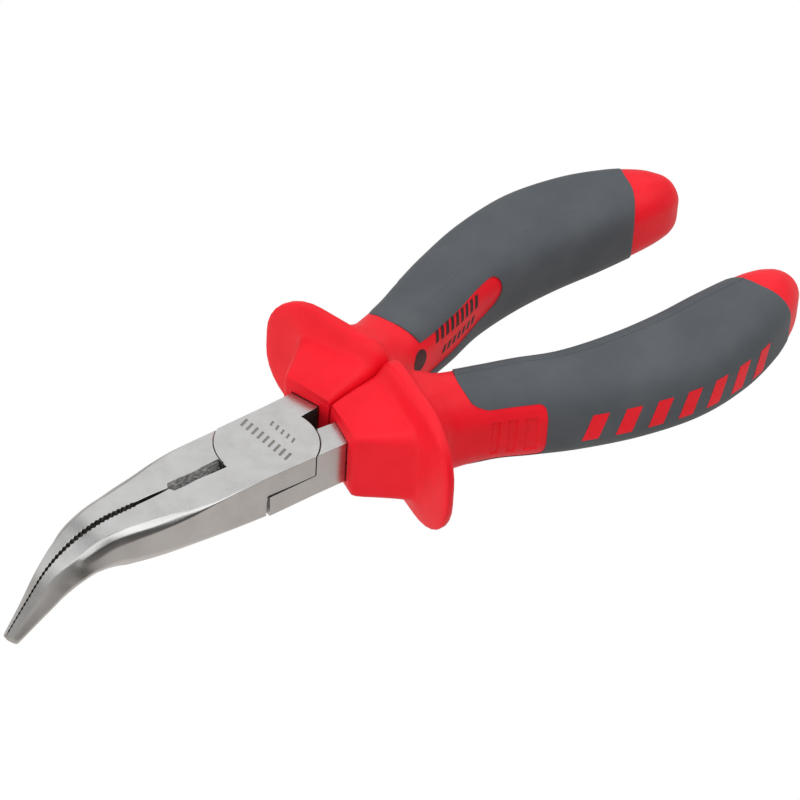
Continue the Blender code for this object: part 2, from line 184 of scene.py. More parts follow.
# The handle's outline in plan behind the guard: inner end, outer end, half height, and the
# height of the ring's middle
HANDLE_STATIONS = [
    ((33.8, 2.9), (29.6, 15.8), 8.8, 0.25),
    ((41.0, 5.1), (36.6, 18.1), 8.0, 0.35),
    ((47.5, 7.1), (43.0, 21.0), 8.0, 0.2),
    ((55.5, 9.9), (51.3, 24.5), 8.0, 0.0),
    ((65.5, 11.5), (62.5, 28.1), 8.0, 0.0),
    ((75.5, 11.9), (74.6, 30.0), 7.9, 0.0),
    ((84.8, 11.5), (86.2, 28.8), 7.8, 0.0),
    ((91.8, 11.4), (95.0, 26.0), 7.6, 0.0),
    ((97.2, 11.5), (100.6, 23.1), 7.2, -0.1),
    ((101.1, 12.0), (103.7, 20.9), 6.4, -0.4),
    ((103.8, 13.1), (105.3, 19.1), 5.1, -0.7),
    ((105.3, 14.3), (105.9, 17.5), 3.2, -0.9),
    ((105.9, 15.4), (106.1, 16.6), 1.2, -0.9),
]
HANDLE_CORNER = 0.72         # corner radius over half height
GUARD_STEPS, HANDLE_STEPS = 3, 7    # sections of the skin from one row to the next
# Limits of a corner radius: over half height, over width, and before and after the skin moves
RADIUS_LIMITS = (0.98, 0.49, 0.2, 0.1)

# Turns of the points round a corner; the two close pairs carry the grip's ledges
CORNER_TURNS = (0.0, 10.2, 11.2, 22.5, 33.8, 45.0, 56.2, 67.5, 78.8, 79.8, 90.0)
# Places of the points on the flats between the corners: top and underside, then the flanks
FLAT_SHARES = [0.14, 0.28, 0.42, 0.56, 0.70, 0.86]
SIDE_SHARES = [0.2, 0.4, 0.6, 0.8]

# Grip
GRIP_PROUD = 0.13            # how far the soft grip stands over the hard sleeve
GRIP_DEPTH = 0.9             # how far the grip's edge goes into the sleeve
GRIP_STEPS = 70              # sections from its front edge to its rear one
LEDGE_TURN = 79.3            # the grip's skin is thicker up to this far round from the inner flank
LEDGE = 0.14
# Where the grip begins and ends, as places in the list of handle stations: at the inner side,
# on the top, and at the outer side
GRIP_FRONT = (0.52, 0.28, 0.60)
GRIP_REAR = (7.00, 7.33, 7.62)
EDGE_STEP = 0.02             # width of the grip's rounded edge, in the same places
EDGE_MIDDLE = (0.4, 0.75)    # its middle point, as shares of its width and height
EDGE_SUNK = -0.02            # height of its foot over the sleeve

# Windows in the grip, seen from the side: x and height
TONGUE_END = 44.6
TONGUE_HALF_HEIGHT = 6.0
TONGUE_CORNER = 1.1
TONGUE_CORNER_STEPS = 4
TONGUE_FRONT = [(28.0, 8.4), (32.6, 7.7), (33.8, 6.7), (35.2, 6.1), (37.2, TONGUE_HALF_HEIGHT)]
WINDOW_UPPER = [(37.0, 5.9), (40.0, 5.7), (50.0, 5.7), (55.0, 5.9), (57.6, 6.1), (58.8, 6.0),
                (59.8, 5.3), (60.3, 4.2)]
WINDOW_LOWER = [(60.3, 2.9), (59.8, 1.7), (58.6, 0.5), (56.2, -0.4), (52.8, -1.1), (46.2, -1.9),
                (40.0, -2.3)]
WINDOW_FRONT = 31.0
FLANK_REACH = 30.0           # from the handle's middle line to beyond either flank

# Recessed panels on the thumb ramp: x and width of each, height, depths and slope
TONGUE_PANELS = [(35.2, 1.9), (38.0, 1.9), (40.8, 2.7)]
PANEL_HEIGHT = 7.8
PANEL_DEPTHS = (-0.28, 0.25)
PANEL_SLOPE = 0.45

# Raised bars on the outer side of the grips
BAR_COUNT = 7
BAR_FIRST, BAR_LAST = 52.8, 88.6
BAR_WIDTH = 2.9
BAR_HEIGHT = 5.6
BAR_SLANT = 1.6
BAR_LEVEL = -0.2
BAR_DEPTHS = (-0.3, 0.06)

# Dark marks printed in the inner window: rows of dashes given by their first and last middle,
# count, height and width, and one round spot given by its middle, width and height
MARK_ROWS = [((41.4, 4.5), (53.4, 3.9), 9, 2.3, 0.85), ((43.4, 0.5), (52.2, 0.8), 7, 1.5, 0.75)]
MARK_SPOT = (36.2, 2.6, 3.6, 4.4)
MARK_SLANT = 0.5
MARK_DEPTHS = (-0.20, 0.04)   # below and above the window's face

# Slabs laid on a flank: cells across and along, and where the rays that find the flank start
PATCH_ACROSS, PATCH_ALONG = 6, 8
FAR_SIDE = 60.0

# Tang, a bar inside the handle, and the sleeve's bore for it
TANG_START = 14.5
TANG_END = 88.0
TANG_HALF_HEIGHT = 3.2
TANG_INSET = 4.6
TANG_CLEARANCE = 0.25
SHANK_CLEARANCE = 0.2
BORE_START = 8.0
RELIEF_END = TANG_END + 9.0  # the plate is thinned down to the tang as far as this
RELIEF_HALF_WIDTH = 40.0

# Colours of the clouded materials, from their darker places to their paler ones
RED_SHADES = ((0.74, 0.004, 0.014), (0.83, 0.006, 0.018), (0.88, 0.010, 0.024))
GREY_SHADES = ((0.066, 0.076, 0.085), (0.076, 0.086, 0.096), (0.088, 0.098, 0.107))
INK_SHADES = ((0.035, 0.018, 0.018), (0.050, 0.022, 0.022), (0.075, 0.026, 0.026))
ETCHED_SHADES = ((0.17, 0.155, 0.14), (0.21, 0.195, 0.175), (0.25, 0.23, 0.21))

# Stage and camera, in metres and degrees
CAMERA_AZIMUTH = -39.91
CAMERA_ELEVATION = 41.04
CAMERA_ROLL = 3.59
CAMERA_DISTANCE = 0.730
CAMERA_LENS = 187.8
CAMERA_SENSOR = 36.0
CAMERA_CLIP = (0.01, 10.0)
TARGET = Vector((0.02879, -0.00031, MIDDLE))
FLOOR_SIZE = 6.0
FLOOR_GLOW = 1.0
# Height of the direction, from 0 straight down to 1 straight up, and colour
WORLD_BANDS = [(0.0, (0.76, 0.71, 0.68)), (0.38, (0.74, 0.70, 0.67)), (0.50, (0.52, 0.51, 0.50)),
               (0.62, (0.46, 0.46, 0.46)), (1.0, (0.48, 0.48, 0.49))]
# Dark flag: azimuth and elevation, angles from there at which it ends and is full, and the
# share of the light that it leaves
FLAG_DIRECTION = (10.0, 4.0)
FLAG_EDGES = (46.0, 33.0)
FLAG_LEVEL = 0.20
# Softboxes: name, azimuth, elevation, distance, size, brightness, and whether gloss shows them
LIGHTS = [
    ("key", 49.0, 50.0, 0.9, 0.9, 1.3, True),
    ("back", 140.0, 44.0, 1.0, 1.1, 0.55, True),
    ("side", 228.0, 24.0, 1.0, 0.9, 0.60, True),
    ("front", -70.0, 60.0, 1.0, 0.9, 0.9, True),
    ("overhead_fill", -40.0, 80.0, 1.4, 1.6, 0.45, False),
    ("front_fill", -20.0, 12.0, 1.2, 1.2, 0.55, False),
    ("left_fill", -88.0, 12.0, 1.2, 1.2, 1.00, False),
]


# -------- helpers

def slope_at(rows, i, c):
    """Slope of column c at row i, flat where the column turns back, so that nothing overshoots."""
    if i == 0 or i == len(rows) - 1:
        j = max(i, 1)
        return (rows[j][c] - rows[j - 1][c]) / (rows[j][0] - rows[j - 1][0])
    before = (rows[i][c] - rows[i - 1][c]) / (rows[i][0] - rows[i - 1][0])
    after = (rows[i + 1][c] - rows[i][c]) / (rows[i + 1][0] - rows[i][0])
    return 0.0 if before * after <= 0.0 else 2.0 * before * after / (before + after)


def curve_at(rows, place):
    """Values of a table at a place, on smooth curves through its rows; column 0 is the place."""
    i = 0
    while i < len(rows) - 2 and rows[i + 1][0] < place:
        i += 1
    span = rows[i + 1][0] - rows[i][0]
    t = min(max((place - rows[i][0]) / span, 0.0), 1.0)
    weights = (2 * t**3 - 3 * t**2 + 1, (t**3 - 2 * t**2 + t) * span,
               3 * t**2 - 2 * t**3, (t**3 - t**2) * span)
    return [
        weights[0] * rows[i][c] + weights[1] * slope_at(rows, i, c)
        + weights[2] * rows[i + 1][c] + weights[3] * slope_at(rows, i + 1, c)
        for c in range(1, len(rows[0]))
    ]


def mesh_object(name, bm, *materials):
    """Turn a bmesh in millimetres about the joint's middle plane into an object in the frame."""
    bmesh.ops.recalc_face_normals(bm, faces=bm.faces)
    for vert in bm.verts:
        vert.co = vert.co * MM + Vector((0.0, 0.0, MIDDLE))
    mesh = bpy.data.meshes.new(name)
    bm.to_mesh(mesh)
    bm.free()
    thing = bpy.data.objects.new(name, mesh)
    bpy.context.collection.objects.link(thing)
    for material in materials:
        mesh.materials.append(material)
    return thing


def add_boolean(thing, other, operation="DIFFERENCE", careful=False):
    """Cut, join or intersect one object with another, which is then only a helper."""
    modifier = thing.modifiers.new(other.name, "BOOLEAN")
    modifier.operation = operation
    modifier.solver = "EXACT"
    modifier.use_self = careful
    modifier.object = other


def settle(thing, helpers, sharp_degrees, weighted=False):
    """Apply an object's modifiers, drop its helpers and set its shading."""
    graph = bpy.context.evaluated_depsgraph_get()
    mesh = bpy.data.meshes.new_from_object(thing.evaluated_get(graph))
    thing.modifiers.clear()
    thing.data = mesh
    for helper in helpers:
        bpy.data.objects.remove(helper, do_unlink=True)
    bm = bmesh.new()
    bm.from_mesh(mesh)
    bmesh.ops.remove_doubles(bm, verts=bm.verts, dist=WELD)
    bmesh.ops.dissolve_degenerate(bm, edges=bm.edges, dist=WELD)
    bm.to_mesh(mesh)
    bm.free()
    mesh.shade_smooth()
    mesh.set_sharp_from_angle(angle=math.radians(sharp_degrees))
    if weighted:
        normals = thing.modifiers.new("flat_faces", "WEIGHTED_NORMAL")
        normals.weight = 90
        normals.keep_sharp = True
    return thing


def show(thing, body, slot, *nodes):
    """Give a finished piece its body and hide the CAD nodes that it stands for; slot is not used."""
    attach(thing, body)
    if nodes:
        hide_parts(*nodes)


def loft(rings, closed=False):
    """Skin a list of closed rings. The ends are capped, or joined to each other if closed."""
    bm = bmesh.new()
    rows = [[bm.verts.new(point) for point in ring] for ring in rings]
    count = len(rows[0])
    pairs = list(zip(rows, rows[1:])) + ([(rows[-1], rows[0])] if closed else [])
    for first, second in pairs:
        for i in range(count):
            j = (i + 1) % count
            bm.faces.new((first[i], first[j], second[j], second[i]))
    if not closed:
        bm.faces.new(rows[0])
        bm.faces.new(list(reversed(rows[-1])))
    return bm


def inset(outline, amount):
    """Move a closed plan outline inwards, with its sharpest corners held back."""
    area = sum(x0 * y1 - x1 * y0 for (x0, y0), (x1, y1) in zip(outline, outline[1:] + outline[:1]))
    turn = 1.0 if area > 0.0 else -1.0
    moved = []
    for i, here in enumerate(outline):
        before = Vector(here) - Vector(outline[i - 1])
        after = Vector(outline[(i + 1) % len(outline)]) - Vector(here)
        first = Vector((-before.y, before.x)).normalized() * turn
        second = Vector((-after.y, after.x)).normalized() * turn
        miter = (first + second) / max(1.0 + first.dot(second), 0.3)
        moved.append(tuple(Vector(here) + miter * amount))
    return moved


def plate(outline, low, high, rounding=0.0):
    """Extrude a plan outline, with its upper and lower edges rounded in two steps."""
    if not rounding:
        return loft([[(x, y, z) for x, y in outline] for z in (low, high)])
    step = rounding * 0.3
    soft = inset(outline, rounding)
    half = inset(outline, step)
    levels = [(soft, low), (half, low + step), (outline, low + rounding),
              (outline, high - rounding), (half, high - step), (soft, high)]
    return loft([[(x, y, z) for x, y in shape] for shape, z in levels])


def circle(radius, count):
    """Plan circle about the pivot axis."""
    return [(radius * math.cos(2 * math.pi * i / count), radius * math.sin(2 * math.pi * i / count))
            for i in range(count)]


def arc(radius, start, end, count):
    """Plan arc about the pivot axis, angles in degrees."""
    steps = [math.radians(start + (end - start) * i / (count - 1)) for i in range(count)]
    return [(radius * math.cos(a), radius * math.sin(a)) for a in steps]


def rounded_corners(corners, radii, points):
    """Replace each corner of a closed outline by a curve that takes under half of either side."""
    outline = []
    for i, corner in enumerate(corners):
        here = Vector(corner)
        before = Vector(corners[i - 1]) - here
        after = Vector(corners[(i + 1) % len(corners)]) - here
        reach = min(radii[i], before.length * 0.45, after.length * 0.45)
        start = here + before.normalized() * reach
        end = here + after.normalized() * reach
        for step in range(points[i]):
            t = step / (points[i] - 1)
            outline.append(tuple(start * (1 - t) ** 2 + here * 2 * t * (1 - t) + end * t * t))
    return outline


# -------- materials

def node_tree(name):
    """A new material with its tree, its Principled shader and its object coordinates."""
    material = bpy.data.materials.new(name)
    material.use_nodes = True
    tree = material.node_tree
    return material, tree, tree.nodes["Principled BSDF"], tree.nodes.new("ShaderNodeTexCoord")


def stretched_noise(tree, coordinates, scale, detail, roughness=0.55):
    """Noise of a different size along X, Y and Z, in cells per metre."""
    mapping = tree.nodes.new("ShaderNodeMapping")
    mapping.inputs["Scale"].default_value = scale
    tree.links.new(coordinates.outputs["Object"], mapping.inputs["Vector"])
    noise = tree.nodes.new("ShaderNodeTexNoise")
    noise.inputs["Scale"].default_value = 1.0
    noise.inputs["Detail"].default_value = detail
    noise.inputs["Roughness"].default_value = roughness
    tree.links.new(mapping.outputs["Vector"], noise.inputs["Vector"])
    return noise.outputs["Fac"]


def ramp(tree, value, stops):
    """Colour ramp of (place, colour) stops."""
    node = tree.nodes.new("ShaderNodeValToRGB")
    elements = node.color_ramp.elements
    while len(elements) < len(stops):
        elements.new(0.5)
    for element, (place, colour) in zip(elements, stops):
        element.position = place
        element.color = (*colour, 1.0)
    tree.links.new(value, node.inputs["Fac"])
    return node.outputs["Color"]


def spread(tree, value, low, high, start=0.3, end=0.7):
    """Map a noise value onto a range."""
    node = tree.nodes.new("ShaderNodeMapRange")
    node.inputs["From Min"].default_value = start
    node.inputs["From Max"].default_value = end
    node.inputs["To Min"].default_value = low
    node.inputs["To Max"].default_value = high
    tree.links.new(value, node.inputs["Value"])
    return node.outputs["Result"]


def bump(tree, shader, heights):
    """Chain bumps of (height, distance in metres, strength) onto the shader's normal."""
    last = None
    for height, distance, strength in heights:
        node = tree.nodes.new("ShaderNodeBump")
        node.inputs["Distance"].default_value = distance
        node.inputs["Strength"].default_value = strength
        tree.links.new(height, node.inputs["Height"])
        if last:
            tree.links.new(last, node.inputs["Normal"])
        last = node.outputs["Normal"]
    tree.links.new(last, shader.inputs["Normal"])


def make_steel():
    """Ground and lightly blasted satin steel: fine grinding lines over a soft mottling."""
    material, tree, shader, where = node_tree("satin_steel")
    mottle = stretched_noise(tree, where, (260.0, 260.0, 260.0), 6.0)
    grain = stretched_noise(tree, where, (900.0, 9000.0, 9000.0), 3.0)
    speck = stretched_noise(tree, where, (5200.0, 5200.0, 5200.0), 2.0)
    stops = [(0.30, (0.50, 0.495, 0.485)), (0.55, (0.56, 0.557, 0.55)), (0.75, (0.60, 0.598, 0.592))]
    tree.links.new(ramp(tree, mottle, stops), shader.inputs["Base Color"])
    shader.inputs["Metallic"].default_value = 1.0
    tree.links.new(spread(tree, mottle, 0.24, 0.32), shader.inputs["Roughness"])
    bump(tree, shader, [(grain, 0.000012, 0.35), (speck, 0.00001, 0.30)])
    return material


def make_cut_steel():
    """Dark, coarsely milled steel of the cutters' bevels."""
    material, tree, shader, where = node_tree("milled_steel")
    marks = stretched_noise(tree, where, (1500.0, 2600.0, 2600.0), 5.0, 0.7)
    stops = [(0.32, (0.14, 0.137, 0.135)), (0.48, (0.45, 0.445, 0.44)), (0.62, (0.75, 0.745, 0.74))]
    tree.links.new(ramp(tree, marks, stops), shader.inputs["Base Color"])
    shader.inputs["Metallic"].default_value = 0.8
    tree.links.new(spread(tree, marks, 0.42, 0.62), shader.inputs["Roughness"])
    bump(tree, shader, [(marks, 0.00012, 0.8)])
    return material


def make_painted_gap_shade():
    """Painted shade: a faintly mottled near-black for the joint's gaps and other faces that stay in deep
    shadow.
    """
    material, tree, shader, where = node_tree("painted_gap_shade")
    shade_mottle = stretched_noise(tree, where, (2200.0, 2200.0, 2200.0), 4.0)
    stops = [(0.35, (0.012, 0.011, 0.010)), (0.70, (0.035, 0.033, 0.030))]
    tree.links.new(ramp(tree, shade_mottle, stops), shader.inputs["Base Color"])
    tree.links.new(spread(tree, shade_mottle, 0.5, 0.8), shader.inputs["Roughness"])
    shader.inputs["Specular IOR Level"].default_value = 0.2
    bump(tree, shader, [(shade_mottle, 0.00008, 0.6)])
    return material


def make_plastic(name, colours, roughness, cells, depth, specular):
    """Moulded plastic or rubber: cloudy colour, a fine skin texture and uneven gloss."""
    material, tree, shader, where = node_tree(name)
    cloud = stretched_noise(tree, where, (95.0, 95.0, 95.0), 4.0)
    skin = stretched_noise(tree, where, (cells, cells, cells), 3.0, 0.6)
    wide = stretched_noise(tree, where, (320.0, 320.0, 320.0), 2.0)
    stops = list(zip((0.30, 0.52, 0.72), colours))
    tree.links.new(ramp(tree, cloud, stops), shader.inputs["Base Color"])
    tree.links.new(spread(tree, skin, roughness - 0.05, roughness + 0.06),
                   shader.inputs["Roughness"])
    shader.inputs["Specular IOR Level"].default_value = specular
    bump(tree, shader, [(wide, 0.00012, 0.25), (skin, depth, 0.5)])
    return material


# -------- steel halves

def half_width(x):
    """Half width of the joint at x."""
    return HALF_WIDTH + FLARE * x


def bend_point(distance):
    """Point (x, z) and downward angle on the top line of the jaws, before and after the bend."""
    if distance <= 0.0:
        return BEND_START - distance, TOP, 0.0
    angle = min(distance / BEND_RADIUS, BEND_ANGLE)
    rest = max(0.0, distance - BEND_RADIUS * BEND_ANGLE)
    x = BEND_START - BEND_RADIUS * math.sin(angle) - rest * math.cos(angle)
    z = TOP - BEND_RADIUS * (1.0 - math.cos(angle)) - rest * math.sin(angle)
    return x, z, angle


def jaw_length():
    """Distance along the top line at which the jaws reach the frame's tip."""
    bent = BEND_START - BEND_RADIUS * math.sin(BEND_ANGLE)
    return BEND_RADIUS * BEND_ANGLE + (bent - TIP) / math.cos(BEND_ANGLE)


def jaw_ring(distance, gap, jaw_side):
    """Section of one jaw, square to its top line."""
    w1, d1, w2, d2, w3, d3, w4, d4, w5, thick = curve_at(JAW_SECTIONS, distance)
    corners = [(gap, 0.0), (w1, d1), (w2, d2), (w3, d3), (w4, d4), (w5, thick), (gap, thick)]
    outline = rounded_corners(corners, JAW_ROUNDING, JAW_ROUNDING_POINTS)
    x, z, angle = bend_point(distance)
    return [(x + depth * math.sin(angle), jaw_side * out, z - depth * math.cos(angle))
            for out, depth in outline]


def make_jaw(name, jaw_side):
    """The jaw in front of the joint, with its row of cross teeth on the seam's face."""
    end = jaw_length()
    plain = int((TOOTH_START - JAW_ROOT) / PLAIN_STEP)
    places = [(JAW_ROOT + (TOOTH_START - JAW_ROOT) * i / plain, 0.0) for i in range(plain)]
    teeth = int((end - TOOTHLESS_TIP - TOOTH_START) / (TOOTH_PITCH / 2.0))
    places += [(TOOTH_START + i * TOOTH_PITCH / 2.0, i % 2) for i in range(teeth)]
    places += [(end - TOOTHLESS_TIP / 2.0, 0.0)]
    rings = []
    for distance, valley in places:
        gap, depth = curve_at(SEAM, distance)
        rings.append(jaw_ring(distance, gap + depth * valley, jaw_side))
    last = jaw_ring(end, curve_at(SEAM, end)[0], jaw_side)
    centre = sum((Vector(p) for p in last), Vector()) / len(last)
    rings.append([tuple(centre + (Vector(p) - centre) * TIP_SHRINK) for p in last])
    return mesh_object(name, loft(rings))


def tang_sides(inset_by):
    """Inner and outer side of a bar that runs inside the handle's outline."""
    inner, outer = [], []
    for (xi, yi), (xo, yo), _height, _level in HANDLE_STATIONS:
        if xi < TANG_END:
            across = Vector((xo - xi, yo - yi)).normalized() * inset_by
            inner.append((xi + across.x, yi + across.y))
            outer.append((xo - across.x, yo - across.y))
    return inner, outer


def tang_outline(grow=0.0):
    """Plan of the shank's end and the tang on the side of negative y."""
    inner, outer = tang_sides(TANG_INSET - grow)
    return ([(SHANK_END, -(SHANK_INNER + SHANK_END_OUT - grow))] + [(x, -y) for x, y in inner]
            + [(x, -y) for x, y in reversed(outer)] + [(SHANK_END, -(half_width(SHANK_END) + grow))])


def slot_cutter(name, jaw_side):
    """Cutter for one half of the slot: bevels down to the cutting edge on the seam."""
    edge = SEAM[0][1]
    rings = []
    for x, mouth in SLOT_MOUTH:
        wedge = [(-PAST, TOP + PAST), (mouth, TOP + PAST), (mouth, TOP), (edge, CUTTER_LAND),
                 (edge, -CUTTER_LAND), (mouth, -TOP), (mouth, -TOP - PAST), (-PAST, -TOP - PAST)]
        rings.append([(x, q * jaw_side, z) for q, z in wedge])
    return mesh_object(name, loft(rings))


def engraving(name):
    """Cutter for the shallow strokes in the top of the joint, each leaning by its own width."""
    bm = bmesh.new()
    for (x0, y0), (x1, y1), count, size, width in STROKES:
        step = Vector((x1 - x0, y1 - y0)) / (count - 1)
        row = step.normalized()
        tall = Vector((row.y, -row.x)) * size / 2.0
        for i in range(count):
            middle = Vector((x0, y0)) + step * i
            lean = row * width
            corners = [middle - tall - lean, middle - tall, middle + tall + lean, middle + tall]
            lower = [bm.verts.new((*corner, TOP - ENGRAVED_DEPTH)) for corner in corners]
            upper = [bm.verts.new((*corner, TOP + PAST)) for corner in corners]
            bm.faces.new(lower)
            bm.faces.new(upper)
            for a, b in ((0, 1), (1, 2), (2, 3), (3, 0)):
                bm.faces.new((lower[a], lower[b], upper[b], upper[a]))
    return mesh_object(name, bm)


def half_outline():
    """Plan of a forged half's plate behind the jaw, for a jaw on the side of positive y."""
    edge = SEAM[0][1] + JAW_OVERLAP
    root = bend_point(JAW_ROOT)[0] - ROOT_OVERLAP
    shoulder = half_width(SHOULDER)
    corner = math.degrees(math.acos(shoulder / LAP_RADIUS))
    turn = math.degrees(math.asin(SHANK_INNER / LAP_RADIUS))
    return (
        [(SEAM_INSET - LAP_RADIUS, edge), (root, edge), (root, JAW_SECTIONS[0][1] - ROOT_INSET)]
        + arc(LAP_RADIUS, 90.0 - corner, -turn, SHANK_ARC_STEPS)
        + [(SHANK_STEP, -(SHANK_INNER + SHANK_STEP_OUT))] + tang_outline()
        + [(SHOULDER, -shoulder)]
        + arc(LAP_RADIUS, -90.0 - corner - ARC_START, ARC_END, LAP_ARC_STEPS)
    )


def lap_hollow(name, sign):
    """Cutter for the hollow that takes the other half's lap, above where sign is 1, else below."""
    reach = LAP_RADIUS + LAP_CLEARANCE
    rim = reach + LAP_CHAMFER
    levels = [(reach, -LAP_GAP), (reach, TOP - LAP_CHAMFER), (rim, TOP), (rim + PAST, TOP + PAST)]
    return mesh_object(name, loft([[(x + LAP_OFFSET, y, sign * z) for x, y in circle(radius, LAP_STEPS)]
                                   for radius, z in levels]))


def make_half(node, jaw_side, finishes_and_shade):
    """One forged half with its jaw, lap, shank and tang."""
    outline = [(x, q * jaw_side) for x, q in half_outline()]
    body = mesh_object(node + "_steel", plate(outline, -TOP, TOP, EDGE_CHAMFER), *finishes_and_shade)
    helpers = [make_jaw(node + ".jaw", jaw_side)]
    add_boolean(body, helpers[0], "UNION")
    helpers.append(lap_hollow(node + ".hollow", jaw_side))
    helpers.append(slot_cutter(node + ".slot", jaw_side))
    bore = circle(RIVET_RADIUS + RIVET_CLEARANCE, RIVET_STEPS)
    helpers.append(mesh_object(node + ".bore", plate(bore, -TOP - PAST, TOP + PAST)))
    for top_side in (-1.0, 1.0):
        low, high = sorted((top_side * TANG_HALF_HEIGHT, top_side * (TOP + PAST)))
        relief = [(TANG_START, -RELIEF_HALF_WIDTH), (RELIEF_END, -RELIEF_HALF_WIDTH),
                  (RELIEF_END, RELIEF_HALF_WIDTH), (TANG_START, RELIEF_HALF_WIDTH)]
        helpers.append(mesh_object(node + ".relief", plate(relief, low, high)))
    if jaw_side < 0.0:
        helpers.append(engraving(node + ".strokes"))
    else:
        side_line = half_width(WEDGE[0][0])
        ends = [[(x, -y, z) for x, z in WEDGE] for y in (side_line - WEDGE_DEPTH, side_line + PAST)]
        helpers.append(mesh_object(node + ".wedge", loft(ends)))
    for helper in helpers[1:]:
        add_boolean(body, helper)
    settle(body, helpers, STEEL_CREASE, weighted=True)
    paint_cut_faces(body)
    return body


def paint_cut_faces(body):
    """Give the slot's bevels the milled finish and the floors of the strokes the etched one, and paint
    shade on the slot's end walls, the shanks' inner faces and the lap faces at the middle plane."""
    slot_front, slot_rear, slot_reach = SLOT_ZONE
    shank_start, shank_reach = SHANK_ZONE
    for face in body.data.polygons:
        x, y, z = face.center.x / MM, face.center.y / MM, (face.center.z - MIDDLE) / MM
        upright = abs(face.normal.z) < 0.9
        if upright and slot_front < x < slot_rear and abs(y) < slot_reach:
            face.material_index = PAINTED_SHADE if abs(face.normal.x) > 0.8 else MILLED
        elif upright and x > shank_start and abs(y) < shank_reach:
            face.material_index = PAINTED_SHADE
        elif not upright and abs(z) < LAP_GAP * 1.5:
            face.material_index = PAINTED_SHADE
        elif not upright and math.hypot(x, y) < LAP_RADIUS and 0.7 < (TOP - z) / ENGRAVED_DEPTH < 1.3:
            face.material_index = ETCHED


def make_rivet(finishes_and_shade):
    """Flush rivet, ground level with both faces of the joint."""
    pin = plate(circle(RIVET_RADIUS, RIVET_STEPS), -TOP, TOP)
    rivet = mesh_object("flush_rivet", pin, *finishes_and_shade)
    strokes = engraving("rivet.strokes")
    add_boolean(rivet, strokes)
    settle(rivet, [strokes], RIVET_CREASE, weighted=True)
    paint_cut_faces(rivet)
    return rivet


# -------- handles

def all_rings():
    """Guard rings and handle stations as one table of equal rows."""
    rows = [(*inner, *outer, *rest) for inner, outer, *rest in GUARD_RINGS]
    rows += [(*inner, *outer, height, height, HANDLE_CORNER * height, HANDLE_CORNER * height, level)
             for inner, outer, height, level in HANDLE_STATIONS]
    return rows


RINGS = all_rings()
HANDLE_BASE = len(GUARD_RINGS)     # place of the first handle station in the table


def ring_at(place):
    """Catmull-Rom values of the ring table at a place between two rows."""
    place = min(max(place, 0.0), len(RINGS) - 1.0)
    i = min(int(place), len(RINGS) - 2)
    t = place - i
    rows = [RINGS[max(i - 1, 0)], RINGS[i], RINGS[i + 1], RINGS[min(i + 2, len(RINGS) - 1)]]
    weights = (-0.5 * t + t * t - 0.5 * t**3, 1.0 - 2.5 * t * t + 1.5 * t**3,
               0.5 * t + 2.0 * t * t - 1.5 * t**3, -0.5 * t * t + 0.5 * t**3)
    return [sum(w * row[c] for w, row in zip(weights, rows)) for c in range(len(rows[0]))]


def ring_layout():
    """Spots round a ring: (side across, side up, turn in degrees, share). On a flat between two
    corners, share is how far along it the spot is; on a corner it is None."""
    layout = []
    for centre, up, turn in ((1, 1, 0.0), (-1, 1, 90.0), (-1, -1, 180.0), (1, -1, 270.0)):
        for extra in CORNER_TURNS:
            layout.append((centre, up, turn + extra, None))
        shares = FLAT_SHARES if centre == up else SIDE_SHARES
        if (centre, up) == (-1, -1):
            shares = [1.0 - share for share in reversed(shares)]
        layout += [(centre, up, turn + 90.0, share) for share in shares]
    return layout


def corner_spot(values, centre, up, turn, grow):
    """A spot on one corner of a ring, as distance from its inner end and height."""
    xi, yi, xo, yo, inner_height, outer_height, inner_radius, outer_radius, middle = values
    length = math.hypot(xo - xi, yo - yi)
    height = outer_height if centre > 0 else inner_height
    radius = outer_radius if centre > 0 else inner_radius
    of_height, of_length, least, least_moved = RADIUS_LIMITS
    radius = max(max(min(radius, height * of_height, length * of_length), least) + grow, least_moved)
    along = length + grow - radius if centre > 0 else radius - grow
    level = middle + (height + grow - radius) * up
    angle = math.radians(turn)
    return along + radius * math.cos(angle), level + radius * math.sin(angle)


def ring_spot(values, spot, grow):
    """Any spot of a ring, as distance from its inner end and height."""
    centre, up, turn, share = spot
    here = corner_spot(values, centre, up, turn, grow)
    if share is None:
        return here
    following = corner_spot(values, -up, centre, turn, grow)    # on the next corner round
    return tuple(a + (b - a) * share for a, b in zip(here, following))


def ring_point(values, spot, side, grow=0.0):
    """Point of a ring in space. grow moves the skin outwards."""
    along, level = ring_spot(values, spot, grow)
    xi, yi, xo, yo = values[:4]
    length = math.hypot(xo - xi, yo - yi)
    x = xi + (xo - xi) / length * along
    y = yi + (yo - yi) / length * along
    return (x, y * side, level)


def full_skin(name, side, material):
    """The whole handle's outer skin, guard included, as one closed solid."""
    places = []
    for i in range(len(RINGS) - 1):
        steps = GUARD_STEPS if i < HANDLE_BASE else HANDLE_STEPS
        places += [i + step / steps for step in range(steps)]
    places.append(len(RINGS) - 1.0)
    layout = ring_layout()
    rings = []
    for place in places:
        values = ring_at(place)
        rings.append([ring_point(values, spot, side) for spot in layout])
    return mesh_object(name, loft(rings), material)


def edge_place(limits, spot):
    """Where the grip begins or ends at a spot round the ring: inner side, top, outer side."""
    inner, top, outer = limits
    values = ring_at(HANDLE_BASE + top)
    along, _level = ring_spot(values, spot, 0.0)
    across = along / math.hypot(values[2] - values[0], values[3] - values[1]) * 2.0
    if across < 1.0:
        return inner + (top - inner) * across * (2.0 - across)
    return top + (outer - top) * (across - 1.0) ** 2


def inner_half(spot):
    """Whether a spot is on the inner side of the ledges along the top and the underside."""
    centre, _up, turn, _share = spot
    return centre < 0 and abs(turn - 180.0) < LEDGE_TURN


